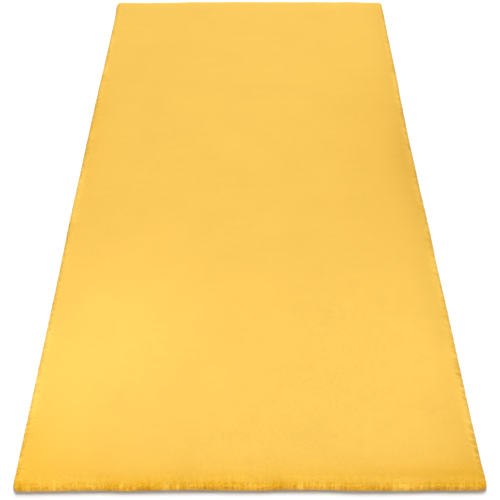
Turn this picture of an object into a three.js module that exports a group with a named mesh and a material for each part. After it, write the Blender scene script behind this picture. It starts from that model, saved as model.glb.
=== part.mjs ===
// A faux fur rug, 80 by 150 cm: one flat piece of pile cloth with no border, hem or fringe.
// Units are millimetres. X runs across the rug, Y along it and Z up from the floor.
// The near short edge is at -Y. The origin is on the floor, under the middle of the cloth.
// The solid is the whole rug: the cloth's flat back, and its pile up to the tips.
// Its top is a gently lumpy slab, and round its rim the pile hangs down in small locks.

import * as THREE from "three";

// Driving sizes of the cloth and its pile
const CLOTH_WIDTH = 800;
const CLOTH_LENGTH = 1500;
const THICKNESS = 19.2;
const BULGE = 3.2; // how far the pile stands out past the cloth's cut edge
const RIM_HEIGHT = 6.8; // the height at which it stands out furthest
const ROLL_OFF = 32; // the pile's top bends down to the rim over this width

// Steps of the surface
const BEND_STEPS = 4; // the bend from the flat field down to the rim
const CORNER_STEPS = 2; // of those, the ones that lie inside a corner's round
const FIELD_STEP = 36; // the grid's cell over the field

// The locks of the rim, and how unlike each other they are
const LOCK_COUNT = 284;
const REACH_SPREAD = 0.9; // to either side, as are the next two
const LIFT_SPREAD = 0.6;
const SWAY_SPREAD = 1.8; // along the rim
const GOLDEN_ANGLE = Math.PI * (3 - Math.sqrt(5));

// A lock's ridge and the valleys beside it, row by row down the rim.
// Out is measured from the even rim, and free is the share of the lock's own spread there.
const LOCK_ROWS = [
  { ridgeOut: -4, ridgeHeight: 12.8, valleyOut: -4, valleyHeight: 12.8, free: 0 },
  { ridgeOut: 0.9, ridgeHeight: 9.4, valleyOut: -1.5, valleyHeight: 9.2, free: 0.3 },
  { ridgeOut: 2.3, ridgeHeight: 4.8, valleyOut: -1.3, valleyHeight: 6, free: 0.7 },
  { ridgeOut: 1.9, ridgeHeight: 1.3, valleyOut: -2.6, valleyHeight: 3.4, free: 1 },
];

// Each side's unevenness: at a place along the side, how far the rim stands out (+) or in (-).
const SIDES = {
  right: [
    { at: -740, out: 0.9 },
    { at: -600, out: -0.3 },
    { at: -360, out: -0.6 },
    { at: -255, out: -1.8 },
    { at: -190, out: -0.9 },
    { at: 0, out: -2.5 },
    { at: 120, out: -3.1 },
    { at: 290, out: -1.8 },
    { at: 370, out: 0.4 },
    { at: 560, out: 1.1 },
    { at: 700, out: 2.4 },
  ],
  left: [
    { at: -740, out: 0.4 },
    { at: -500, out: 0.1 },
    { at: -310, out: 0.2 },
    { at: -220, out: 1.2 },
    { at: -140, out: 2.3 },
    { at: 60, out: 2 },
    { at: 290, out: 1.6 },
    { at: 460, out: 0.1 },
    { at: 660, out: -1.3 },
    { at: 730, out: 0.6 },
  ],
  near: [
    { at: -380, out: 0.4 },
    { at: -255, out: -0.8 },
    { at: -214, out: 0 },
    { at: -120, out: -1.9 },
    { at: 20, out: -0.5 },
    { at: 55, out: -1.6 },
    { at: 115, out: -1.2 },
    { at: 185, out: 0.5 },
    { at: 270, out: 0.2 },
    { at: 320, out: -0.4 },
    { at: 390, out: -0.9 },
  ],
  far: [
    { at: -370, out: -1.4 },
    { at: -320, out: -2.9 },
    { at: -230, out: -1.3 },
    { at: -170, out: 0.7 },
    { at: 0, out: 1.4 },
    { at: 100, out: 1 },
    { at: 190, out: -0.5 },
    { at: 300, out: -0.4 },
    { at: 370, out: -2 },
  ],
};

// The soft lumps of the pile: wave lengths across and along the rug, and each wave's height.
const LUMPS = [
  { across: 310, along: 520, height: 0.45, phase: 0.4 },
  { across: -170, along: 260, height: 0.35, phase: 1.9 },
  { across: 120, along: -190, height: 0.3, phase: 3.1 },
  { across: 95, along: 140, height: 0.25, phase: 5.2 },
];

// The corner's round is as wide as the first steps of the bend.
const CORNER_RADIUS = bendInset(CORNER_STEPS);

// Half sizes of the even rim
const HALF_X = CLOTH_WIDTH / 2 + BULGE;
const HALF_Y = CLOTH_LENGTH / 2 + BULGE;

// How far inside the rim each step of the bend lies, so that each turns by a like angle.
function bendInset(step) {
  return ROLL_OFF * (1 - Math.cos((step / BEND_STEPS) * (Math.PI / 2)));
}

// The value of one side's table at a place along it, eased between its rows.
function sideOut(rows, at) {
  const next = rows.findIndex((row) => row.at > at);
  if (next === 0) return rows[0].out;
  if (next < 0) return rows[rows.length - 1].out;
  const before = rows[next - 1];
  const after = rows[next];
  const share = THREE.MathUtils.smoothstep(at, before.at, after.at);
  return THREE.MathUtils.lerp(before.out, after.out, share);
}

// Moves a point of the even plan to the rug's uneven one. The middle of the rug stays in place.
function unevenPlan(point) {
  const side = point.x > 0 ? SIDES.right : SIDES.left;
  const end = point.y > 0 ? SIDES.far : SIDES.near;
  return new THREE.Vector2(
    point.x * (1 + sideOut(side, point.y) / HALF_X),
    point.y * (1 + sideOut(end, point.x) / HALF_Y),
  );
}

// How far the pile has risen at a distance inside the rim, from 0 to 1: a quarter of an ellipse.
function rise(inset) {
  const left = THREE.MathUtils.clamp(1 - inset / ROLL_OFF, 0, 1);
  return Math.sqrt(1 - left * left);
}

function lumps(x, y) {
  return LUMPS.reduce((sum, wave) => {
    const turn = 2 * Math.PI * (x / wave.across + y / wave.along) + wave.phase;
    return sum + wave.height * Math.sin(turn);
  }, 0);
}

function topHeight(x, y) {
  const risen = rise(HALF_X - Math.abs(x)) * rise(HALF_Y - Math.abs(y));
  return RIM_HEIGHT + (THICKNESS - RIM_HEIGHT + lumps(x, y)) * risen;
}

// A place round the rug as one growing number: a whole one for each side, from the near left corner.
function turnOf(point) {
  const x = point.x / HALF_X;
  const y = point.y / HALF_Y;
  if (Math.abs(y) >= Math.abs(x)) return y < 0 ? (x + 1) / 2 : 2 + (1 - x) / 2;
  return x > 0 ? 1 + (y + 1) / 2 : 3 + (1 - y) / 2;
}

// The even rim as a closed path, anticlockwise from the near left corner.
function rimPath() {
  const x = HALF_X - CORNER_RADIUS;
  const y = HALF_Y - CORNER_RADIUS;
  const quarter = Math.PI / 2;
  const path = new THREE.Path();
  path.moveTo(-x, -HALF_Y);
  path.lineTo(x, -HALF_Y);
  path.absarc(x, -y, CORNER_RADIUS, -quarter, 0);
  path.absarc(x, y, CORNER_RADIUS, 0, quarter);
  path.absarc(-x, y, CORNER_RADIUS, quarter, 2 * quarter);
  path.absarc(-x, -y, CORNER_RADIUS, 2 * quarter, 3 * quarter);
  return path;
}

// Points spread evenly round the rim, each with its outward direction.
function rimPoints(count) {
  const path = rimPath();
  const coreX = HALF_X - CORNER_RADIUS;
  const coreY = HALF_Y - CORNER_RADIUS;
  return Array.from({ length: count }, (_, index) => {
    const point = path.getPointAt(index / count);
    const core = new THREE.Vector2(
      THREE.MathUtils.clamp(point.x, -coreX, coreX),
      THREE.MathUtils.clamp(point.y, -coreY, coreY),
    );
    return { point, outward: point.clone().sub(core).normalize() };
  });
}

// Collects the vertices and faces of one closed surface.
class Surface {
  positions = [];
  faces = [];

  vertex(plan, height) {
    this.positions.push(plan.x, plan.y, height);
    return this.positions.length / 3 - 1;
  }

  quad(a, b, c, d) {
    this.faces.push(a, b, c, a, c, d);
  }

  // Joins two loops of unlike counts. Both run anticlockwise, as lists of { vertex, turn }.
  // The lower one is further down the rim, or further out.
  stitch(lower, upper) {
    let low = 0;
    let high = 0;
    const turnAfter = (loop, index) =>
      index + 1 < loop.length ? loop[index + 1].turn : loop[0].turn + 4;
    const vertexAt = (loop, index) => loop[index % loop.length].vertex;
    while (low < lower.length || high < upper.length) {
      const lowTurn = low < lower.length ? turnAfter(lower, low) : Infinity;
      const highTurn = high < upper.length ? turnAfter(upper, high) : Infinity;
      const from = [vertexAt(lower, low), vertexAt(upper, high)];
      if (lowTurn <= highTurn) {
        low += 1;
        this.faces.push(from[0], vertexAt(lower, low), from[1]);
      } else {
        high += 1;
        this.faces.push(from[0], vertexAt(upper, high), from[1]);
      }
    }
  }

  geometry() {
    const geometry = new THREE.BufferGeometry();
    geometry.setAttribute("position", new THREE.Float32BufferAttribute(this.positions, 3));
    geometry.setIndex(this.faces);
    geometry.computeVertexNormals();
    return geometry;
  }
}

// Grid places across the field, from one corner's round to the other's.
function gridPlaces(half) {
  const fieldHalf = half - ROLL_OFF;
  const fieldSteps = Math.round(fieldHalf / FIELD_STEP);
  const places = [];
  for (let step = 0; step < fieldSteps; step += 1) {
    places.push((step / fieldSteps) * fieldHalf);
  }
  for (let step = BEND_STEPS; step >= CORNER_STEPS; step -= 1) {
    places.push(half - bendInset(step));
  }
  const mirrored = places.slice(1).map((place) => -place);
  return [...mirrored.reverse(), ...places];
}

// The pile's top as a grid of quads. It returns the loop round the grid.
function addField(surface) {
  const columns = gridPlaces(HALF_X);
  const rows = gridPlaces(HALF_Y);
  const grid = rows.map((y) =>
    columns.map((x) => {
      const even = new THREE.Vector2(x, y);
      return { vertex: surface.vertex(unevenPlan(even), topHeight(x, y)), turn: turnOf(even) };
    }),
  );
  for (let row = 1; row < rows.length; row += 1) {
    const near = grid[row - 1];
    const far = grid[row];
    for (let column = 1; column < columns.length; column += 1) {
      const left = column - 1;
      surface.quad(near[left].vertex, near[column].vertex, far[column].vertex, far[left].vertex);
    }
  }
  const right = columns.length - 1;
  return [
    ...grid[0].slice(0, right),
    ...grid.slice(0, -1).map((row) => row[right]),
    ...grid[rows.length - 1].slice(1).reverse(),
    ...grid.slice(1).map((row) => row[0]).reverse(),
  ];
}

// One row of the rim: each lock's ridge, and the valley before the next lock.
function addLockRow(surface, points, row) {
  return points.map(({ point, outward }, index) => {
    const turn = index * GOLDEN_ANGLE;
    const along = new THREE.Vector2(-outward.y, outward.x);
    const ridge = index % 2 === 0;
    const reach = REACH_SPREAD * Math.sin(turn) * row.free;
    const lift = LIFT_SPREAD * Math.sin(2 * turn + 1) * row.free;
    const sway = SWAY_SPREAD * Math.sin(3 * turn + 2) * row.free;
    const out = (ridge ? row.ridgeOut : row.valleyOut) + reach;
    const height = (ridge ? row.ridgeHeight : row.valleyHeight) + lift;
    const plan = unevenPlan(point).addScaledVector(outward, out).addScaledVector(along, sway);
    return { vertex: surface.vertex(plan, height), turn: turnOf(point) };
  });
}

// The rim's locks, from the shoulder down. It returns the first and the last row.
function addLocks(surface) {
  const points = rimPoints(2 * LOCK_COUNT);
  const loops = LOCK_ROWS.map((row) => addLockRow(surface, points, row));
  loops.slice(1).forEach((lower, index) => {
    const upper = loops[index];
    lower.forEach((corner, place) => {
      const next = (place + 1) % lower.length;
      surface.quad(corner.vertex, lower[next].vertex, upper[next].vertex, upper[place].vertex);
    });
  });
  return { shoulder: loops[0], tips: loops[loops.length - 1] };
}

// The cloth's flat back, up to its cut edge, with a point behind each lock.
// It returns the loop round it.
function addBack(surface) {
  const outline = rimPoints(LOCK_COUNT).map(({ point, outward }) => {
    const plan = unevenPlan(point).addScaledVector(outward, -BULGE);
    return { plan, vertex: surface.vertex(plan, 0), turn: turnOf(point) };
  });
  const plans = outline.map(({ plan }) => plan);
  for (const [a, b, c] of THREE.ShapeUtils.triangulateShape(plans, [])) {
    surface.faces.push(outline[a].vertex, outline[c].vertex, outline[b].vertex);
  }
  return outline;
}

function rugGeometry() {
  const surface = new Surface();
  const field = addField(surface);
  const { shoulder, tips } = addLocks(surface);
  const back = addBack(surface);
  surface.stitch(shoulder, field);
  surface.stitch(back, tips);
  return surface.geometry();
}

function pileMaterial() {
  return new THREE.MeshStandardMaterial({ color: 0xfdcb5c, roughness: 0.95, metalness: 0 });
}

const rug = new THREE.Mesh(rugGeometry(), pileMaterial());
rug.name = "rug";

const part = new THREE.Group();
part.add(rug);

export default part;
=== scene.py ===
# A faux fur rug, 80 by 150 cm, lying flat: the cloth's core, and the pile that stands on it.
# Units are metres. X runs across the rug, Y along it and Z up from the floor.
# The near short edge is at -Y. The origin is on the floor, under the middle of the cloth.
# Every lock of the pile is a closed mesh, and its single hairs are in the material.

import math

import bpy
import numpy as np
from mathutils import Matrix


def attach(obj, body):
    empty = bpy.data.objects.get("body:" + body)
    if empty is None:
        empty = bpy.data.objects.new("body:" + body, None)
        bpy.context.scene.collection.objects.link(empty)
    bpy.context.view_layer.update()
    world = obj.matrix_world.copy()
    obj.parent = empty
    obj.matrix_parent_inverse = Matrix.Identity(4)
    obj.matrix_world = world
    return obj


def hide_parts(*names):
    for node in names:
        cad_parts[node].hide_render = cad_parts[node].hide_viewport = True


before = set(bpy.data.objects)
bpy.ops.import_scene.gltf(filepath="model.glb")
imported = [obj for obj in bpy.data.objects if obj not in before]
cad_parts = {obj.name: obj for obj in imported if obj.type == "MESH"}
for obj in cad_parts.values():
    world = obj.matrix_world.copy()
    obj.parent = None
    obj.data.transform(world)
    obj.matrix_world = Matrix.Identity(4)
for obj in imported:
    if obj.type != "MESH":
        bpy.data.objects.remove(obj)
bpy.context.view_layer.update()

MM = 0.001

# Driving sizes
CLOTH_HALF = np.array([400, 750]) * MM
CORNER_RADIUS = 4.5 * MM
FAN = 5.5 * MM  # the pile turns from one side's direction to the next within this of a corner

# The core is a low dome that the locks stand on. past is how far it stands out past the cloth's
# cut edge, and roll is the width of the bend from its flat top down to its rim. rim and top are
# their heights.
CORE = {"past": -1 * MM, "roll": 25 * MM, "rim": 3 * MM, "top": 17.8 * MM}
FLOOR_GAP = 0.4 * MM  # the roots and tips of the locks stay this far above the floor
SKIRT = 2 * MM  # how far down the cloth's cut edge the lowest locks stand

# The pile: how far apart its locks stand, and between which turns of the core, in degrees, from
# 0 at the rim to 90 on the flat top. The first and the last turn lie past these, so that no lock
# is left out there. The locks of the rim are bent, and the others straight.
KINDS = {
    "rim": {"pitch": 1.6 * MM, "turns": (-9, 28)},
    "shoulder": {"pitch": 1.7 * MM, "turns": (28, 60)},
    "field": {"pitch": 2.8 * MM, "turns": (60, 99)},
}
OVERLAP = 3  # two kinds are mixed within this many degrees of their border
SUNK = 0.8 * MM  # a lock's root is this far inside the core
SPOT_LOOSENESS = 0.42  # how far a lock may stand off its place in an even grid, by the pitch
CORNER_THIN = 5  # of the spots outside the rounded corners, only one of so many keeps its lock
FIELD_PIECES = 5  # the field's locks are cut into so many pieces, from the near end to the far end
LOCK_NUMBERS = 100  # each lock has a number of its own below this, for its hairs

# Locks stand together in tufts: how far apart these are, where in its cell a tuft's middle may
# lie, and how far the cells reach past the laid-out core
TUFT_PITCH = 5 * MM
TUFT_PLACES = (0.1, 0.9)
TUFT_MARGIN = 20 * MM

# How the locks stand, by the core's turn in degrees: their length in millimetres, their half
# width at the root as a share of their spacing, how many degrees they are combed over towards
# the floor, the share by which the locks of one tuft draw together, how many degrees from the
# upright the soft pile faces there, and by which share it is painted lighter or darker at the
# near end. That tone is painted light and shade: painted shade low on the rim, where the floor
# and the overhanging locks shade it, and painted light on the shoulder, which makes up for the
# shadow that the far lamp leaves there.
COMB = [
    {"turn": 0, "length": 6.4, "width": 0.95, "lean": 30, "pull": 0.05, "facing": 52, "tone": -0.39},
    {"turn": 8, "length": 6.6, "width": 0.95, "lean": 34, "pull": 0.15, "facing": 40, "tone": -0.27},
    {"turn": 18, "length": 5.6, "width": 1.00, "lean": 40, "pull": 0.35, "facing": 28, "tone": -0.04},
    {"turn": 30, "length": 2.4, "width": 1.70, "lean": 25, "pull": 0.1, "facing": 20, "tone": 0.045},
    {"turn": 40, "length": 1.3, "width": 2.00, "lean": 10, "pull": 0.03, "facing": 12, "tone": 0.12},
    {"turn": 57, "length": 1.3, "width": 2.00, "lean": 2, "pull": 0.03, "facing": 5, "tone": 0.065},
    {"turn": 59, "length": 1.3, "width": 2.00, "lean": 1, "pull": 0.03, "facing": 4, "tone": 0.05},
    {"turn": 60, "length": 1.3, "width": 1.50, "lean": 1, "pull": 0.03, "facing": 3, "tone": 0.04},
    {"turn": 68, "length": 1.5, "width": 1.50, "lean": 0, "pull": 0.04, "facing": 2, "tone": 0.02},
    {"turn": 77, "length": 1.9, "width": 1.45, "lean": 0, "pull": 0.05, "facing": 1, "tone": 0},
    {"turn": 90, "length": 2.1, "width": 1.42, "lean": 0, "pull": 0.05, "facing": 0, "tone": 0},
]

# How far tufts and single locks differ from the comb: in lean, in length and in being drawn
# together, each as a share but for the lean
TUFT_LEAN = math.radians(4)
TUFT_LENGTH = 0.06
OWN_LEAN = math.radians(3)
OWN_LENGTH = 0.05
OWN_PULL = 0.2
MOST_PULL = 0.8

# On the flat top the nap leans a little, another way from place to place, and mostly towards
# the near end. The tips are loose, and their height swells from place to place, with the marks
# of brushing, and from lock to lock.
NAP = 0.25 * MM
NAP_CELLS = (90 * MM, 70 * MM)
NAP_NEARWARDS = 0.5
TIP_LOOSENESS = 0.35 * MM
FINE_SWELL = {"cell": 11 * MM, "height": 0.12 * MM}
WIDE_SWELL = {"cell": 34 * MM, "height": 0.2 * MM}
STREAK_HEIGHT = 0.12 * MM
OWN_HEIGHT = 0.12 * MM

# Each side's unevenness: (place along the side, how far its edge stands out), in millimetres.
SIDES = {
    "right": [
        (-745, 3.6), (-690, 2), (-600, 1.2), (-360, 0.9), (-255, -0.3), (-190, 0.6), (0, -1),
        (120, -1.6), (290, -0.3), (370, 1.9), (560, 2.6), (700, 3.9),
    ],
    "left": [
        (-740, 2.1), (-500, 1.8), (-310, 1.9), (-220, 2.9), (-140, 4), (60, 3.7),
        (290, 3.3), (460, 1.8), (660, 0.4), (730, 2.3),
    ],
    "near": [
        (-380, -1.2), (-255, -2.7), (-214, -1.7), (-120, -3.3), (20, -2.1), (55, -3.2),
        (115, -3), (185, -1.5), (270, -1.4), (320, -2.1), (390, -2),
    ],
    "far": [
        (-370, 4.5), (-320, 4.1), (-230, 6.1), (-170, 8.1), (0, 8.8), (100, 8.7),
        (190, 7.4), (300, 7.1), (370, 4.6),
    ],
}

# The soft lumps of the pile: wave lengths across and along, height and phase.
LUMPS = [
    (310 * MM, 520 * MM, 0.45 * MM, 0.4),
    (-170 * MM, 260 * MM, 0.35 * MM, 1.9),
    (120 * MM, -190 * MM, 0.3 * MM, 3.1),
    (95 * MM, 140 * MM, 0.25 * MM, 5.2),
]

# Soft patches of painted light and shade: where the pile lies another way and takes the light
# otherwise, and along the sides and the near end, where the light falls otherwise. Columns:
# middle, reach across and along, tone, the share by which it is painted lighter (+) or darker
# (-) there, and warmth, how much deeper its yellow is painted there.
LIGHT_AND_SHADE_PATCHES = [
    {"x": 0, "y": -0.52, "across": 2, "along": 0.22, "tone": 0.05, "warmth": 0},
    {"x": -0.22, "y": -0.42, "across": 0.12, "along": 0.16, "tone": 0.05, "warmth": 0},
    {"x": -0.37, "y": -0.54, "across": 0.11, "along": 0.20, "tone": 0.065, "warmth": 0.03},
    {"x": 0.41, "y": 0.05, "across": 0.07, "along": 0.22, "tone": -0.06, "warmth": 0.06},
    {"x": 0.33, "y": 0.10, "across": 0.14, "along": 0.36, "tone": -0.03, "warmth": 0.07},
    {"x": -0.30, "y": 0.40, "across": 0.20, "along": 0.35, "tone": -0.025, "warmth": 0},
    {"x": -0.42, "y": 0.15, "across": 0.05, "along": 0.25, "tone": 0, "warmth": 0.2},
    {"x": -0.38, "y": -0.70, "across": 0.13, "along": 0.08, "tone": 0.035, "warmth": 0.18},
    {"x": 0.45, "y": -0.76, "across": 0.12, "along": 0.13, "tone": -0.08, "warmth": 0.2},
    {"x": 0, "y": -0.77, "across": 2, "along": 0.05, "tone": 0.01, "warmth": 0.45},
    {"x": 0.42, "y": 0, "across": 0.05, "along": 2, "tone": -0.085, "warmth": 0.03},
    {"x": -0.42, "y": 0, "across": 0.05, "along": 2, "tone": -0.025, "warmth": 0.02},
    {"x": -0.42, "y": -0.66, "across": 0.05, "along": 0.07, "tone": -0.015, "warmth": 0.17},
    {"x": -0.32, "y": -0.76, "across": 0.10, "along": 0.025, "tone": 0.02, "warmth": -0.25},
    {"x": -0.16, "y": -0.76, "across": 0.09, "along": 0.02, "tone": -0.02, "warmth": 0.05},
    {"x": 0.29, "y": -0.76, "across": 0.20, "along": 0.02, "tone": 0.07, "warmth": -0.33},
    {"x": 0.33, "y": -0.73, "across": 0.18, "along": 0.012, "tone": -0.025, "warmth": 0.1},
]

# Strands of pile fall over the rim: their width and their reach down it. Then how much the
# rim's strands, tufts, locks and wider parts are lighter or darker, how much warmer the pile of
# the near end's rim is painted than the rest, as painted shade there, and how much warmer any is
# where it is dark.
STRAND = np.array([2.4, 13]) * MM
RIM_STRANDS = 0.10
RIM_TUFTS = 0.04
RIM_LOCKS = 0.05
RIM_WAVES = 0.085
RIM_WAVE_CELL = 45 * MM
NEAR_SHADE_WARMTH = 0.3
DARK_WARMTH = 2
# The other sides get less of the comb's painted light and shade than the near end.
OTHER_SIDES = 0.3  # what the other sides have of the tone that the comb gives the near end

# How much single locks and wider parts of the field are lighter or darker
FIELD_LOCKS_TONE = 0.003
FIELD_DRIFT_TONE = 0.005
FIELD_DRIFT_CELL = 50 * MM

# Faint marks of brushing across the rug: their length and width, and how much they differ
STREAK = np.array([70, 9]) * MM
STREAK_TONE = 0.008

DRIFT_MARGIN = 50 * MM  # how far the random grids reach past the cloth


def ease(share):
    return share * share * (3 - 2 * share)


def unit(vectors):
    return vectors / np.maximum(np.linalg.norm(vectors, axis=-1, keepdims=True), 1e-9)


def side_out(rows, at):
    """The value of one side's table at places along it, eased between its rows."""
    places, outs = np.array(rows).T * MM
    after = np.clip(np.searchsorted(places, at, side="right"), 1, len(places) - 1)
    before = after - 1
    share = np.clip((at - places[before]) / (places[after] - places[before]), 0, 1)
    return outs[before] + (outs[after] - outs[before]) * ease(share)


def uneven(points):
    """Moves points of the even rug to the uneven one. The middle of the rug stays in place."""
    x, y = points[:, 0], points[:, 1]
    out_x = np.where(x > 0, side_out(SIDES["right"], y), side_out(SIDES["left"], y))
    out_y = np.where(y > 0, side_out(SIDES["far"], x), side_out(SIDES["near"], x))
    moved = points.copy()
    moved[:, 0] = x * (1 + out_x / CLOTH_HALF[0])
    moved[:, 1] = y * (1 + out_y / CLOTH_HALF[1])
    return moved


def lumps(plan):
    x, y = plan[:, 0], plan[:, 1]
    return sum(
        height * np.sin(2 * math.pi * (x / across + y / along) + phase)
        for across, along, height, phase in LUMPS
    )


def drift(plan, cell, seed):
    """Smooth random values from -1 to 1 over the plan, with one free value for each cell."""
    counts = np.ceil(2 * (CLOTH_HALF + DRIFT_MARGIN) / cell).astype(int) + 3
    grid = np.random.default_rng(seed).uniform(-1, 1, counts)
    place = (plan + CLOTH_HALF + DRIFT_MARGIN) / cell
    low = np.clip(np.floor(place).astype(int), 0, counts - 2)
    share = ease(np.clip(place - low, 0, 1))
    column, row = low.T
    across, along = share.T
    near = grid[column, row] * (1 - across) + grid[column + 1, row] * across
    far = grid[column, row + 1] * (1 - across) + grid[column + 1, row + 1] * across
    return near * (1 - along) + far * along


def strands(plan):
    """Smooth random values from -1 to 1 that run as narrow stripes over the rim."""
    runs_along_x = np.abs(plan[:, 1]) - CLOTH_HALF[1] > np.abs(plan[:, 0]) - CLOTH_HALF[0]
    return np.where(runs_along_x, drift(plan, STRAND, seed=27), drift(plan, STRAND[::-1], seed=28))


def patches(name, plan):
    """The sum of one column of the LIGHT_AND_SHADE_PATCHES table of painted light and shade at places
    of the plan.
    """
    total = np.zeros(len(plan))
    for patch in LIGHT_AND_SHADE_PATCHES:
        away_x = (plan[:, 0] - patch["x"]) / patch["across"]
        away_y = (plan[:, 1] - patch["y"]) / patch["along"]
        total += patch[name] * np.exp(-(away_x**2 + away_y**2))
    return total


def combed(name, turn):
    """A column of the COMB table at these turns."""
    return np.interp(turn, np.radians([row["turn"] for row in COMB]), [row[name] for row in COMB])


# The core's bend is a quarter of an ellipse: its turn up from the rim, by the length along it
BEND_TURNS = np.linspace(0, math.pi / 2, 181)
BEND_STEPS = np.hypot(
    np.diff(CORE["roll"] * np.cos(BEND_TURNS)),
    np.diff((CORE["top"] - CORE["rim"]) * np.sin(BEND_TURNS)),
)
BEND_LENGTHS = np.concatenate([[0], np.cumsum(BEND_STEPS)])
BEND_LENGTH = BEND_LENGTHS[-1]
RIM_HALF = CLOTH_HALF + CORE["past"]
FIELD_HALF = RIM_HALF - CORE["roll"]
SPREAD_HALF = FIELD_HALF + BEND_LENGTH + SKIRT  # half sizes with the bends laid out flat


def folded(spread):
    """The plan of spots on the laid-out core once its bends are folded down."""
    excess = np.abs(spread) - FIELD_HALF
    turns = np.interp(BEND_LENGTH - excess, BEND_LENGTHS, BEND_TURNS)
    bent = RIM_HALF - CORE["roll"] * (1 - np.cos(turns))
    return np.sign(spread) * np.where(excess > 0, bent, np.abs(spread))


def rim_inset(plan):
    """How far inside the core's rounded rim each place of the plan lies."""
    over = np.abs(plan) - (RIM_HALF - CORNER_RADIUS)
    round_part = np.linalg.norm(np.maximum(over, 0), axis=1)
    flat_part = np.minimum(over.max(axis=1), 0)
    return CORNER_RADIUS - round_part - flat_part


def on_core(spread):
    """Where spots of the laid-out core lie: their plan, height, turn and outward direction."""
    plan = folded(spread)
    inset = rim_inset(plan)
    inner = RIM_HALF - np.clip(inset, 0, CORE["roll"])[:, None] - FAN
    outward = unit(plan - np.clip(plan, -inner, inner))
    outside = np.maximum(-inset, 0)
    plan = plan - outward * outside[:, None]
    turn = np.arccos(1 - np.clip(inset / CORE["roll"], 0, 1))
    over_edge = (np.abs(spread) - FIELD_HALF - BEND_LENGTH).max(axis=1).clip(0)
    below = np.minimum(over_edge + outside, SKIRT)
    height = CORE["rim"] + (CORE["top"] + lumps(plan) - CORE["rim"]) * np.sin(turn) - below
    return plan, height, turn, outward


def skin_light_and_shade(plan, turn, outward):
    """The painted light and shade of the pile at spots of the core, as tone and warmth, without what
    differs lock by lock.
    """
    near = np.clip(-outward[:, 1], 0, 1)
    tone = patches("tone", plan) + combed("tone", turn) * (OTHER_SIDES + (1 - OTHER_SIDES) * near)
    warmth = patches("warmth", plan) + NEAR_SHADE_WARMTH * near * np.cos(turn) ** 2
    return tone, warmth


def upright(turn, outward):
    """The direction straight out of the core."""
    slope = (CORE["top"] - CORE["rim"]) * np.cos(turn)
    return unit(np.column_stack([outward * slope[:, None], CORE["roll"] * np.sin(turn)]))


def over_the_rim(turn, outward):
    """The direction along the core, outwards and down."""
    drop = (CORE["top"] - CORE["rim"]) * np.cos(turn)
    return unit(np.column_stack([outward * CORE["roll"] * np.sin(turn)[:, None], -drop]))


def lock_line(spread, lean_more, length_more):
    """Where locks on these spots of the laid-out core start and end.

    Low on the bend they lean further over and are longer by lean_more and by a share length_more.
    """
    plan, height, turn, outward = on_core(spread)
    starts = np.column_stack([plan, height])
    lean = (np.radians(combed("lean", turn)) + lean_more * np.cos(turn))[:, None]
    length = (combed("length", turn) * MM * (1 + length_more * np.cos(turn)))[:, None]
    way = np.cos(lean) * upright(turn, outward) + np.sin(lean) * over_the_rim(turn, outward)
    return starts, starts + way * length


def lock_spots(pitch, rng):
    """Spots for locks all over the laid-out core: a loosened grid of even triangles."""
    row_step = pitch * math.sqrt(3) / 2
    reach = np.ceil(SPREAD_HALF / (pitch, row_step))
    column, row = np.meshgrid(np.arange(-reach[0], reach[0] + 1), np.arange(-reach[1], reach[1] + 1))
    spots = np.stack([(column + (row % 2) / 2) * pitch, row * row_step], axis=-1).reshape(-1, 2)
    spots += rng.uniform(-SPOT_LOOSENESS, SPOT_LOOSENESS, spots.shape) * pitch
    spots = spots[(np.abs(spots) <= SPREAD_HALF).all(axis=1)]
    outside = rim_inset(folded(spots)) < 0
    return spots[~outside | (np.cumsum(outside) % CORNER_THIN == 0)]


def nearest_tuft(spots, seed):
    """The middle of the tuft that each spot belongs to, and the tuft's own random number."""
    start = SPREAD_HALF + TUFT_MARGIN
    counts = np.ceil(2 * start / TUFT_PITCH).astype(int) + 4
    rng = np.random.default_rng(seed)
    middles = rng.uniform(*TUFT_PLACES, (*counts, 2))
    own = rng.uniform(-1, 1, counts)
    cell = np.floor((spots + start) / TUFT_PITCH).astype(int) + 1
    best = np.full(len(spots), np.inf)
    found = np.zeros_like(spots)
    number = np.zeros(len(spots))
    for step in np.ndindex(3, 3):
        column, row = (cell + step - 1).T
        corner = np.column_stack([column, row]) - 1
        middle = (corner + middles[column, row]) * TUFT_PITCH - start
        away = np.linalg.norm(middle - spots, axis=1)
        closer = away < best
        best = np.where(closer, away, best)
        found = np.where(closer[:, None], middle, found)
        number = np.where(closer, own[column, row], number)
    return found, number


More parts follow.
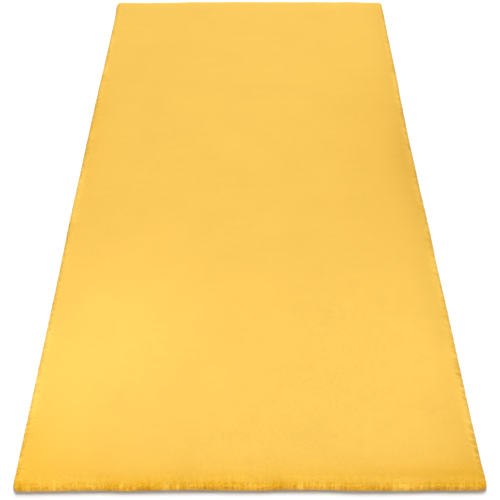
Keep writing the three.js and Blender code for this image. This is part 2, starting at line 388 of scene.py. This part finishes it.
def grow_locks(kind, seed):
    """The locks of one kind: root, bend and tip, their directions and their tones."""
    rng = np.random.default_rng(seed)
    pitch = KINDS[kind]["pitch"]
    spots = lock_spots(pitch, rng)
    turn = np.degrees(on_core(spots)[2])
    lowest, highest = KINDS[kind]["turns"]
    spots = spots[(turn > lowest - OVERLAP) & (turn < highest + OVERLAP)]
    plan, _, turn, outward = on_core(spots)
    count = len(spots)
    flat = np.sin(turn)
    bent = np.cos(turn)
    tufts, tuft_number = nearest_tuft(spots, seed=11)
    own = rng.normal(0, 1, (count, 4))

    tuft_lean = TUFT_LEAN * tuft_number
    tuft_length = TUFT_LENGTH * tuft_number
    own_lean = OWN_LEAN * own[:, 0]
    own_length = OWN_LENGTH * own[:, 1]
    starts, tips = lock_line(spots, tuft_lean + own_lean, tuft_length + own_length)
    _, tuft_tips = lock_line(tufts, tuft_lean, tuft_length)
    pull = combed("pull", turn) * (1 + OWN_PULL * own[:, 2])
    tips += (tuft_tips - tips) * pull[:, None].clip(0, MOST_PULL)

    nap_x = drift(plan, NAP_CELLS[0], seed=21)
    nap_y = drift(plan, NAP_CELLS[1], seed=22) - NAP_NEARWARDS
    loose = rng.normal(0, TIP_LOOSENESS, (count, 2))
    tips[:, :2] += (np.column_stack([nap_x, nap_y]) * NAP + loose) * flat[:, None]
    streaks = drift(plan, STREAK, seed=26)
    swell = drift(plan, FINE_SWELL["cell"], seed=23) * FINE_SWELL["height"]
    swell += drift(plan, WIDE_SWELL["cell"], seed=24) * WIDE_SWELL["height"]
    swell += STREAK_HEIGHT * streaks + OWN_HEIGHT * own[:, 3]
    tips[:, 2] += swell * flat
    tips[:, 2] = np.maximum(tips[:, 2], FLOOR_GAP)

    growth = upright(turn, outward)
    roots = starts - growth * SUNK
    roots[:, 2] = np.maximum(roots[:, 2], FLOOR_GAP)
    length = np.linalg.norm(tips - starts, axis=1, keepdims=True)

    # A lock grows straight out of the core and then bends over towards its tip
    straight_out = starts + growth * length / 2
    bends = ((starts + tips) / 2 + straight_out) / 2
    bends[:, 2] = np.maximum(bends[:, 2], BEND_LOWEST)
    tilt = np.radians(combed("facing", turn))[:, None]

    tone, warmth = skin_light_and_shade(plan, turn, outward)
    tone += FIELD_DRIFT_TONE * drift(plan, FIELD_DRIFT_CELL, seed=25)
    tone += FIELD_LOCKS_TONE * own[:, 2] + STREAK_TONE * streaks * flat
    shade = RIM_STRANDS * strands(plan) + RIM_WAVES * drift(plan, RIM_WAVE_CELL, seed=29)
    shade += RIM_TUFTS * tuft_number + RIM_LOCKS * own[:, 2]
    shade *= bent**2
    kind_turn = np.clip(turn, *np.radians(KINDS[kind]["turns"]))
    return {
        "roots": uneven(roots),
        "bends": uneven(bends),
        "tips": uneven(tips),
        "growth": growth,
        "facing": np.column_stack([outward * np.sin(tilt), np.cos(tilt)]),
        "turn": turn,
        "width": combed("width", kind_turn) * pitch,
        "tone": tone + shade,
        "warmth": warmth - DARK_WARMTH * shade,
        "spin": rng.uniform(0, 2 * math.pi, count),
        "number": rng.uniform(0, LOCK_NUMBERS, count),
    }


def pick(locks, chosen):
    return {name: values[chosen] for name, values in locks.items()}


# A lock has three sides. Its corners are a third of a turn apart, round it.
CORNER_ANGLES = np.arange(3) * (2 * math.pi / 3)
BEND_WIDTH = 0.66  # a bent lock's width at its bend, as a share of its width at the root
BEND_HEIGHT = 0.55  # how far up the lock its bend looks to be, for its colour
BEND_LOWEST = 1.5 * MM  # a bend is never closer to the floor
ROUNDNESS = 0.06  # how much of a lock's own roundness shows in its shading
# How much of the painted root shade the cloth between the locks takes on its flat top
GROUND_HEIGHT = 0.6  # how far up a lock the cloth between the locks looks to be, as fluff fills it
MOSTLY_UP = 0.9  # an axis with less of Z in it than this can be crossed with Z

# The faces of one lock by its vertices: three at the root, three at the bend if it has one, the tip
STRAIGHT_FACES = [(0, 1, 3), (1, 2, 3), (2, 0, 3), (2, 1, 0)]
BENT_FACES = [
    (0, 1, 4), (0, 4, 3), (1, 2, 5), (1, 5, 4), (2, 0, 3), (2, 3, 5),
    (3, 4, 6), (4, 5, 6), (5, 3, 6), (2, 1, 0),
]


def ring(middles, axes, widths, spins):
    """Three corners round each middle, as an array of locks by corners by axes."""
    helper = np.where(np.abs(axes[:, 2:]) < MOSTLY_UP, [[0.0, 0.0, 1.0]], [[1.0, 0.0, 0.0]])
    side = unit(np.cross(helper, axes))[:, None]
    other = np.cross(axes, side[:, 0])[:, None]
    angles = (spins[:, None] + CORNER_ANGLES)[..., None]
    return middles[:, None] + widths[:, None, None] * (np.cos(angles) * side + np.sin(angles) * other)


# One lock laid out in a unit square, for its texture: where its tip lies, how far from the tip
# its root and its bend, and the corner that holds its hidden underside
CELL_TIP = (0.5, 0.47)
CELL_ROOT_RADIUS = 0.44
CELL_BEND_RADIUS = 0.22
CELL_UNDERSIDE = [(0.04, 0.96), (0.3, 0.96), (0.04, 0.76)]


def lock_cell(bent):
    """The places in the unit square of every corner of one lock's faces."""
    radii = (CELL_ROOT_RADIUS, CELL_BEND_RADIUS) if bent else (CELL_ROOT_RADIUS,)
    places = [
        (CELL_TIP[0] + radius * math.sin(angle), CELL_TIP[1] - radius * math.cos(angle))
        for radius in radii
        for angle in CORNER_ANGLES
    ]
    places.append(CELL_TIP)
    faces = BENT_FACES if bent else STRAIGHT_FACES
    return np.array([places[corner] for face in faces[:-1] for corner in face] + CELL_UNDERSIDE)


def set_vectors(mesh, name, values):
    """Gives each vertex of a mesh a vector for its material to read."""
    layer = mesh.attributes.new(name, "FLOAT_VECTOR", "POINT")
    layer.data.foreach_set("vector", values.astype(np.float32).ravel())


def add_piece(name, mesh):
    """Puts a mesh in the scene, smoothly shaded."""
    mesh.polygons.foreach_set("use_smooth", np.ones(len(mesh.polygons), dtype=bool))
    piece = bpy.data.objects.new(name, mesh)
    bpy.context.scene.collection.objects.link(piece)
    return piece


def lock_piece(name, locks, bent):
    """One mesh of many locks, with the numbers that its material reads."""
    count = len(locks["turn"])
    axes = unit(locks["tips"] - locks["roots"])
    round_lock = np.column_stack([np.cos(CORNER_ANGLES), np.sin(CORNER_ANGLES)])
    if bent:
        root_axes = unit(locks["bends"] - locks["roots"])
        rings = [
            ring(locks["roots"], root_axes, locks["width"], locks["spin"]),
            ring(locks["bends"], axes, locks["width"] * BEND_WIDTH, locks["spin"]),
        ]
        heights = [0, 0, 0, BEND_HEIGHT, BEND_HEIGHT, BEND_HEIGHT, 1]
        around = np.concatenate([round_lock, round_lock * (1 - BEND_HEIGHT), [[0, 0]]])
    else:
        rings = [ring(locks["roots"], locks["growth"], locks["width"], locks["spin"])]
        heights = [0, 0, 0, 1]
        around = np.concatenate([round_lock, [[0, 0]]])
    vertices = np.concatenate([*rings, locks["tips"][:, None]], axis=1)
    vertices[..., 2] = np.maximum(vertices[..., 2], FLOOR_GAP / 2)
    per_lock = vertices.shape[1]
    pattern = np.array(BENT_FACES if bent else STRAIGHT_FACES)
    faces = (np.arange(count)[:, None, None] * per_lock + pattern).reshape(-1, 3)

    mesh = bpy.data.meshes.new(name)
    mesh.vertices.add(count * per_lock)
    mesh.vertices.foreach_set("co", vertices.astype(np.float32).ravel())
    mesh.loops.add(faces.size)
    mesh.loops.foreach_set("vertex_index", faces.astype(np.int32).ravel())
    mesh.polygons.add(len(faces))
    mesh.polygons.foreach_set("loop_start", np.arange(len(faces), dtype=np.int32) * 3)
    mesh.update(calc_edges=True)
    piece = add_piece(name, mesh)

    # Each lock faces mostly the way the whole skin does there, so that the pile looks soft
    away = unit(vertices - locks["roots"][:, None] - axes[:, None] * SUNK)
    normals = unit(locks["facing"][:, None] + ROUNDNESS * away)
    mesh.normals_split_custom_set_from_vertices(normals.reshape(-1, 3))

    # The height up each lock sets its painted root shade; tone and warmth carry the skin's painted
    # light and shade with the random tones.
    looks = np.empty((count, per_lock, 3))
    looks[..., 0] = heights
    looks[..., 1] = locks["tone"][:, None]
    looks[..., 2] = locks["warmth"][:, None]
    set_vectors(mesh, "pile", looks)
    hair_places = np.empty((count, per_lock, 3))
    hair_places[..., :2] = around
    hair_places[..., 2] = locks["number"][:, None]
    set_vectors(mesh, "strand", hair_places)

    # Each lock has its own cell of the texture map
    cells = math.ceil(math.sqrt(count))
    index = np.arange(count)
    corner = np.column_stack([index % cells, index // cells])[:, None]
    places = (corner + lock_cell(bent)) / cells
    layer = mesh.uv_layers.new(name="OFBake")
    layer.uv.foreach_set("vector", places.astype(np.float32).ravel())
    return piece


# The core's mesh: the width of its quads on the flat top, and their number down its bend
CORE_STEP = 24 * MM
CORE_BEND_STEPS = 8


def core_piece(name):
    """The cloth under the locks: a closed slab with bent sides and a flat back."""

    def places(axis):
        half = FIELD_HALF[axis]
        field = np.linspace(-half, half, round(2 * half / CORE_STEP) + 1)
        bend = half + BEND_LENGTH * np.arange(1, CORE_BEND_STEPS + 1) / CORE_BEND_STEPS
        return np.concatenate([-bend[::-1], field, bend])

    columns, rows = places(0), places(1)
    grid = np.stack(np.meshgrid(columns, rows), axis=-1).reshape(-1, 2)
    plan, height, turn, outward = on_core(grid)
    top = uneven(np.column_stack([plan, height]))
    index = np.arange(len(top)).reshape(len(rows), len(columns))
    corners = [index[:-1, :-1], index[:-1, 1:], index[1:, 1:], index[1:, :-1]]
    quads = np.stack(corners, axis=-1).reshape(-1, 4)

    # The rim goes straight down to the floor, and the back repeats the grid
    below = top.copy()
    below[:, 2] = 0
    back = quads[:, ::-1] + len(top)
    loop = np.concatenate([index[0, :-1], index[:-1, -1], index[-1, :0:-1], index[:0:-1, 0]])
    after = np.roll(loop, -1)
    walls = np.column_stack([loop + len(top), after + len(top), after, loop])

    mesh = bpy.data.meshes.new(name)
    vertices = np.concatenate([top, below])
    faces = np.concatenate([quads, walls, back])
    mesh.from_pydata(vertices.tolist(), [], faces.tolist())
    # The cloth takes the pile's painted light and shade, with its painted root shade deepest low on
    # the bend under the rim's locks.
    looks = np.column_stack([GROUND_HEIGHT * np.sin(turn), *skin_light_and_shade(plan, turn, outward)])
    set_vectors(mesh, "pile", np.tile(looks, (2, 1)))
    is_back = np.arange(len(faces)) >= len(faces) - len(back)
    mesh.polygons.foreach_set("material_index", is_back.astype(np.int32))
    return add_piece(name, mesh)


# Colours of the pile, from deep between the locks to their tips, as linear red, green and blue.
# The darker colour deep between the locks is painted shade.
PILE_COLOURS_AND_ROOT_SHADE = [
    (0.0, (0.906, 0.547, 0.098)),
    (0.45, (0.928, 0.582, 0.107)),
    (1.0, (0.943, 0.608, 0.1165)),
]
WARM = (0.98, 0.80, 0.11)  # what warmth 1 leaves of red, green and blue
# This deepens the painted shade as well as the pile's random darker tones.
DEEPER = (1, 1.3, 1.8)  # dark pile is deeper in colour: powers of lightness for red, green and blue
# Painted shade: how much warm pile is darkened towards its roots
WARM_ROOT_SHADE = 0.12  # how much darker warm pile is at its roots
PILE_SPECULAR = 0.08
MOTTLE = 0.014  # how much the pile's tone changes over a few centimetres
MOTTLE_SCALE = 45
MOTTLE_DETAIL = 3
HAIR_SCALE = 4
HAIR_DETAIL = 2
HAIR_SPAN = (0.3, 0.7)  # the part of the noise that the hairs spread over their whole range
HAIR_TONES = 0.12  # how much one hair of a lock is lighter than another
HAIR_RELIEF = 0.15 * MM
HAIR_ROUGHNESS = (0.8, 0.95)

# The knitted back: the width of a column of stitches, the length of one stitch, the share of
# that length by which its legs slant, and how much their height changes either way along them
WALE = 1.6 * MM
COURSE = 1.3 * MM
STITCH_SLANT = 0.6
STITCH_SWELL = 0.35
KNIT_SPECULAR = 0.15
KNIT_RELIEF = 0.25 * MM
# Painted shade: the deep colour in the grooves between the stitches' legs, the high one on their tops
KNIT_GROOVE_SHADE = (0.62, 0.36, 0.055, 1)
KNIT_HIGH = (0.88, 0.56, 0.115, 1)
KNIT_ROUGHNESS = (0.75, 0.92)


def add_node(tree, kind, **settings):
    node = tree.nodes.new(kind)
    for name, value in settings.items():
        setattr(node, name, value)
    return node


def feed(tree, socket, term):
    """Sets a socket to a number, or links it to another node's output."""
    if isinstance(term, bpy.types.NodeSocket):
        tree.links.new(term, socket)
    else:
        socket.default_value = term


def calc(tree, operation, *terms, clamp=False):
    """A step of arithmetic with numbers and other nodes' outputs."""
    node = add_node(tree, "ShaderNodeMath", operation=operation, use_clamp=clamp)
    for socket, term in zip(node.inputs, terms):
        feed(tree, socket, term)
    return node.outputs["Value"]


def remap(tree, term, low, high, new_low, new_high, **settings):
    node = add_node(tree, "ShaderNodeMapRange", **settings)
    sockets = ("Value", "From Min", "From Max", "To Min", "To Max")
    for name, value in zip(sockets, (term, low, high, new_low, new_high)):
        feed(tree, node.inputs[name], value)
    return node.outputs["Result"]


def split(tree, vector):
    node = add_node(tree, "ShaderNodeSeparateXYZ")
    tree.links.new(vector, node.inputs["Vector"])
    return node.outputs["X"], node.outputs["Y"], node.outputs["Z"]


def add_bump(tree, shader, height, relief):
    """Raises the surface by relief where height is 1."""
    node = add_node(tree, "ShaderNodeBump")
    node.inputs["Strength"].default_value = 1
    node.inputs["Distance"].default_value = relief
    tree.links.new(height, node.inputs["Height"])
    tree.links.new(node.outputs["Normal"], shader.inputs["Normal"])


def new_material(name):
    material = bpy.data.materials.new(name)
    material.use_nodes = True
    return material, material.node_tree, material.node_tree.nodes["Principled BSDF"]


def hairs(tree):
    """From 0 to 1, a value that changes from hair to hair round a lock and stays along a hair."""
    across, deep, number = split(
        tree, add_node(tree, "ShaderNodeAttribute", attribute_name="strand").outputs["Vector"]
    )
    place = add_node(tree, "ShaderNodeCombineXYZ")
    tree.links.new(across, place.inputs["X"])
    tree.links.new(deep, place.inputs["Y"])
    way = add_node(tree, "ShaderNodeVectorMath", operation="NORMALIZE")
    tree.links.new(place.outputs["Vector"], way.inputs[0])
    noise = add_node(tree, "ShaderNodeTexNoise", noise_dimensions="4D")
    noise.inputs["Scale"].default_value = HAIR_SCALE
    noise.inputs["Detail"].default_value = HAIR_DETAIL
    tree.links.new(way.outputs["Vector"], noise.inputs["Vector"])
    tree.links.new(number, noise.inputs["W"])
    return remap(tree, noise.outputs["Fac"], *HAIR_SPAN, 0, 1)


def pile_material():
    material, tree, shader = new_material("pile")
    shader.inputs["Specular IOR Level"].default_value = PILE_SPECULAR
    height, tone, warmth = split(
        tree, add_node(tree, "ShaderNodeAttribute", attribute_name="pile").outputs["Vector"]
    )
    hair = hairs(tree)

    ramp = add_node(tree, "ShaderNodeValToRGB")
    elements = ramp.color_ramp.elements
    while len(elements) < len(PILE_COLOURS_AND_ROOT_SHADE):
        elements.new(0.5)
    for element, (place, colour) in zip(elements, PILE_COLOURS_AND_ROOT_SHADE):
        element.position = place
        element.color = (*colour, 1)
    tree.links.new(height, ramp.inputs["Fac"])

    # Painted shade: warm pile is painted warmer and darker still towards its roots, deep between the
    # locks
    depth = calc(tree, "SUBTRACT", 1, height)
    warm_depth = calc(tree, "MULTIPLY", warmth, depth)
    warmed = add_node(tree, "ShaderNodeMix", data_type="RGBA", blend_type="MULTIPLY")
    warmed.inputs["B"].default_value = (*WARM, 1)
    feed(tree, warmed.inputs["Factor"], calc(tree, "ADD", warmth, warm_depth, clamp=True))
    tree.links.new(ramp.outputs["Color"], warmed.inputs["A"])

    coordinates = add_node(tree, "ShaderNodeTexCoord")
    mottle = add_node(tree, "ShaderNodeTexNoise")
    mottle.inputs["Scale"].default_value = MOTTLE_SCALE
    mottle.inputs["Detail"].default_value = MOTTLE_DETAIL
    tree.links.new(coordinates.outputs["Object"], mottle.inputs["Vector"])
    mottled = remap(tree, mottle.outputs["Fac"], 0, 1, 1 - MOTTLE / 2, 1 + MOTTLE / 2)
    hair_tone = remap(tree, hair, 0, 1, -HAIR_TONES / 2, HAIR_TONES / 2)
    lightness = calc(tree, "ADD", calc(tree, "ADD", mottled, tone), hair_tone)
    lightness = calc(tree, "MULTIPLY_ADD", warm_depth, -WARM_ROOT_SHADE, lightness)
    shade = add_node(tree, "ShaderNodeVectorMath", operation="POWER")
    tree.links.new(lightness, shade.inputs[0])
    shade.inputs[1].default_value = DEEPER
    toned = add_node(tree, "ShaderNodeVectorMath", operation="MULTIPLY")
    tree.links.new(warmed.outputs["Result"], toned.inputs[0])
    tree.links.new(shade.outputs["Vector"], toned.inputs[1])
    tree.links.new(toned.outputs["Vector"], shader.inputs["Base Color"])

    tree.links.new(remap(tree, hair, 0, 1, *HAIR_ROUGHNESS), shader.inputs["Roughness"])
    add_bump(tree, shader, hair, HAIR_RELIEF)
    return material


def knit_material():
    """The back of the cloth: columns of stitches, each with two slanting legs, with painted shade in
    the grooves between them.
    """
    material, tree, shader = new_material("knit")
    shader.inputs["Specular IOR Level"].default_value = KNIT_SPECULAR
    coordinates = add_node(tree, "ShaderNodeTexCoord")
    x, y, _ = split(tree, coordinates.outputs["Object"])
    place = calc(tree, "FRACT", calc(tree, "DIVIDE", x, WALE))
    from_middle = calc(tree, "ABSOLUTE", calc(tree, "MULTIPLY_ADD", place, 2, -1))
    leg = calc(tree, "SINE", calc(tree, "MULTIPLY", from_middle, math.pi))
    slant = calc(tree, "MULTIPLY", from_middle, STITCH_SLANT)
    along = calc(tree, "ADD", calc(tree, "DIVIDE", y, COURSE), slant)
    loop = calc(tree, "SINE", calc(tree, "MULTIPLY", along, 2 * math.pi))
    swell = calc(tree, "MULTIPLY_ADD", loop, STITCH_SWELL, 1 - STITCH_SWELL)
    height = calc(tree, "MULTIPLY", leg, swell, clamp=True)

    colours = add_node(tree, "ShaderNodeMix", data_type="RGBA")
    colours.inputs["A"].default_value = KNIT_GROOVE_SHADE
    colours.inputs["B"].default_value = KNIT_HIGH
    tree.links.new(height, colours.inputs["Factor"])
    tree.links.new(colours.outputs["Result"], shader.inputs["Base Color"])
    tree.links.new(remap(tree, height, 0, 1, *KNIT_ROUGHNESS), shader.inputs["Roughness"])
    add_bump(tree, shader, height, KNIT_RELIEF)
    return material


# The studio's walls are brighter than its ceiling, as seen from the floor. Their light fades out
# between two shares of their height. The camera sees a plain white instead.
SKY_LIGHT = 0.2
WALL_LIGHT = 1.6
WALL_TOP = math.radians(14)
WALL_FADE = (0.5, 1.5)
SEEN_LIGHT = 1

# Two wide lamps: their angles are in degrees, wide across the lamp and tilt from straight down
LAMPS = [
    {"name": "key", "energy": 3.9, "wide": 30, "tilt": -48},
    {"name": "fill", "energy": 3.3, "wide": 10, "tilt": 86},
]


def camera():
    """The photo's view, worked out from the rug's four edges."""
    place = (0.0007, -1.1817, 1.1798)
    down = math.radians(50.80)
    swing = 0.0008
    roll = -0.0007
    data = bpy.data.cameras.new("camera")
    data.lens = 49.82
    data.clip_start = 0.05
    data.clip_end = 100
    made = bpy.data.objects.new("camera", data)
    bpy.context.scene.collection.objects.link(made)
    made.matrix_world = (
        Matrix.Translation(place)
        @ Matrix.Rotation(-swing, 4, "Z")
        @ Matrix.Rotation(math.pi / 2 - down, 4, "X")
        @ Matrix.Rotation(roll, 4, "Z")
    )
    bpy.context.scene.camera = made


def lights():
    world = bpy.data.worlds.new("studio")
    world.use_nodes = True
    tree = world.node_tree
    sky = tree.nodes["Background"]
    sky.inputs["Color"].default_value = (1, 1, 1, 1)
    _, _, up = split(tree, add_node(tree, "ShaderNodeTexCoord").outputs["Generated"])
    low, high = math.sin(WALL_TOP) * np.array(WALL_FADE)
    wall = remap(tree, up, low, high, WALL_LIGHT, SKY_LIGHT, interpolation_type="SMOOTHSTEP")
    seen = add_node(tree, "ShaderNodeLightPath")
    strength = add_node(tree, "ShaderNodeMix", data_type="FLOAT")
    strength.inputs["B"].default_value = SEEN_LIGHT
    tree.links.new(seen.outputs["Is Camera Ray"], strength.inputs["Factor"])
    tree.links.new(wall, strength.inputs["A"])
    tree.links.new(strength.outputs["Result"], sky.inputs["Strength"])
    bpy.context.scene.world = world

    # The key lamp stands towards the far end, and the fill lamp low before the near end
    for row in LAMPS:
        data = bpy.data.lights.new(row["name"], "SUN")
        data.energy = row["energy"]
        data.angle = math.radians(row["wide"])
        lamp = bpy.data.objects.new(row["name"], data)
        bpy.context.scene.collection.objects.link(lamp)
        lamp.rotation_euler = (math.radians(row["tilt"]), 0, 0)


def floor():
    """The stage's floor, a hair below the rug's back."""
    side = 30.0
    drop = 0.2 * MM
    colour = (0.95, 0.95, 0.95, 1)
    roughness = 0.9
    mesh = bpy.data.meshes.new("floor")
    corners = [(-side, -side, 0), (side, -side, 0), (side, side, 0), (-side, side, 0)]
    mesh.from_pydata(corners, [], [(0, 1, 2, 3)])
    material, _, shader = new_material("floor")
    shader.inputs["Base Color"].default_value = colour
    shader.inputs["Roughness"].default_value = roughness
    mesh.materials.append(material)
    made = add_piece("floor", mesh)
    made.location.z = -drop


def build_rug():
    pile = pile_material()
    cloth = core_piece("cloth")
    field = grow_locks("field", seed=7)
    shoulder = grow_locks("shoulder", seed=9)
    rim = grow_locks("rim", seed=8)
    order = np.argsort(field["tips"][:, 1], kind="stable")
    pieces = [
        lock_piece(f"pile_field_{number}", pick(field, chosen), bent=False)
        for number, chosen in enumerate(np.array_split(order, FIELD_PIECES), 1)
    ]
    pieces.append(lock_piece("pile_shoulder", shoulder, bent=False))
    is_left = rim["tips"][:, 0] < 0
    pieces.append(lock_piece("pile_rim_left", pick(rim, is_left), bent=True))
    pieces.append(lock_piece("pile_rim_right", pick(rim, ~is_left), bent=True))
    for piece in [cloth, *pieces]:
        piece.data.materials.append(pile)
        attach(piece, "root")
    cloth.data.materials.append(knit_material())
    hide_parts("rug")


bpy.context.scene.view_settings.view_transform = "Standard"
camera()
lights()
floor()
build_rug()
